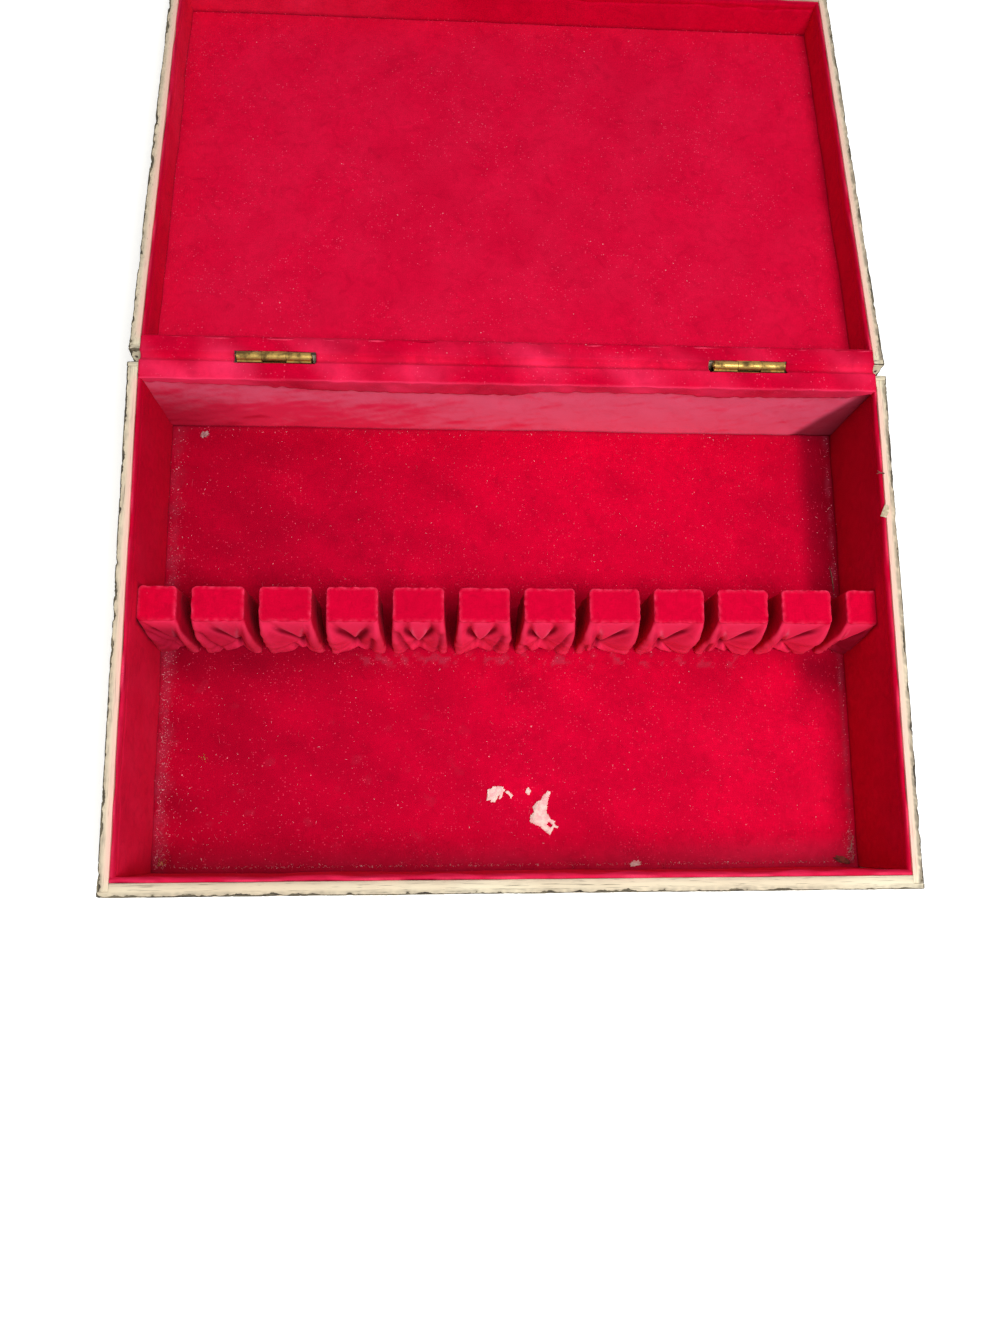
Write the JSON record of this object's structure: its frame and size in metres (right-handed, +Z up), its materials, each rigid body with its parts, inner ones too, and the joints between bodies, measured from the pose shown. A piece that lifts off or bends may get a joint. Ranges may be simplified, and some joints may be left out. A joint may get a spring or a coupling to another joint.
{
  "type": "cutlery chest",
  "caption": "Shallow painted wooden cutlery chest, velvet lined, with a slotted velvet knife rack across the inside and a hinged lid opened right over.",
  "frame": {"origin": "centre of the chest's underside, midway between the outer faces of its four boards", "axes": "+X along the chest, to the right seen from the front; +Y from the front to the hinges; +Z up"},
  "size_m": [0.4, 0.5431, 0.0731],
  "materials": {
    "painted_wood": "chalky cream paint, worn to dark wood along the edges",
    "velvet": "crimson cotton velvet, rubbed and dusty",
    "bare_wood": "sawn, bare",
    "brass": "old, dull brass",
    "iron": "dark cut iron"
  },
  "bodies": {
    "case": {"case_front": "painted_wood", "case_back": "painted_wood", "case_left": "painted_wood", "case_right": "painted_wood", "case_bottom": "painted_wood", "case_corner_brads": "iron", "case_bottom_brads": "iron", "lining_floor": "velvet", "lining_front": "velvet", "lining_back": "velvet", "lining_left": "velvet", "lining_right": "velvet", "hinge_velvet": "velvet", "rack_block_01": "bare_wood", "rack_block_02": "bare_wood", "rack_block_03": "bare_wood", "rack_block_04": "bare_wood", "rack_block_05": "bare_wood", "rack_block_06": "bare_wood", "rack_block_07": "bare_wood", "rack_block_08": "bare_wood", "rack_block_09": "bare_wood", "rack_block_10": "bare_wood", "rack_block_11": "bare_wood", "rack_block_12": "bare_wood", "rack_cover_01": "velvet", "rack_cover_02": "velvet", "rack_cover_03": "velvet", "rack_cover_04": "velvet", "rack_cover_05": "velvet", "rack_cover_06": "velvet", "rack_cover_07": "velvet", "rack_cover_08": "velvet", "rack_cover_09": "velvet", "rack_cover_10": "velvet", "rack_cover_11": "velvet", "rack_cover_12": "velvet", "hinge_left_case_leaf": "brass", "hinge_right_case_leaf": "brass", "hinge_left_pin": "brass", "hinge_right_pin": "brass", "hinge_case_screws": "brass"},
    "lid": {"lid_front": "painted_wood", "lid_back": "painted_wood", "lid_left": "painted_wood", "lid_right": "painted_wood", "lid_top": "painted_wood", "lid_corner_brads": "iron", "lid_top_brads": "iron", "lid_lining_top": "velvet", "lid_lining_front": "velvet", "lid_lining_back": "velvet", "lid_lining_left": "velvet", "lid_lining_right": "velvet", "hinge_left_lid_leaf": "brass", "hinge_right_lid_leaf": "brass", "hinge_lid_screws": "brass"}
  },
  "joints": [
    {"name": "lid_hinge", "type": "hinge", "parent": "case", "child": "lid", "pos_m": [0, 0.13813, 0.0708], "axis": [1, 0, 0], "range_deg": [0, 188.45]}
  ]
}
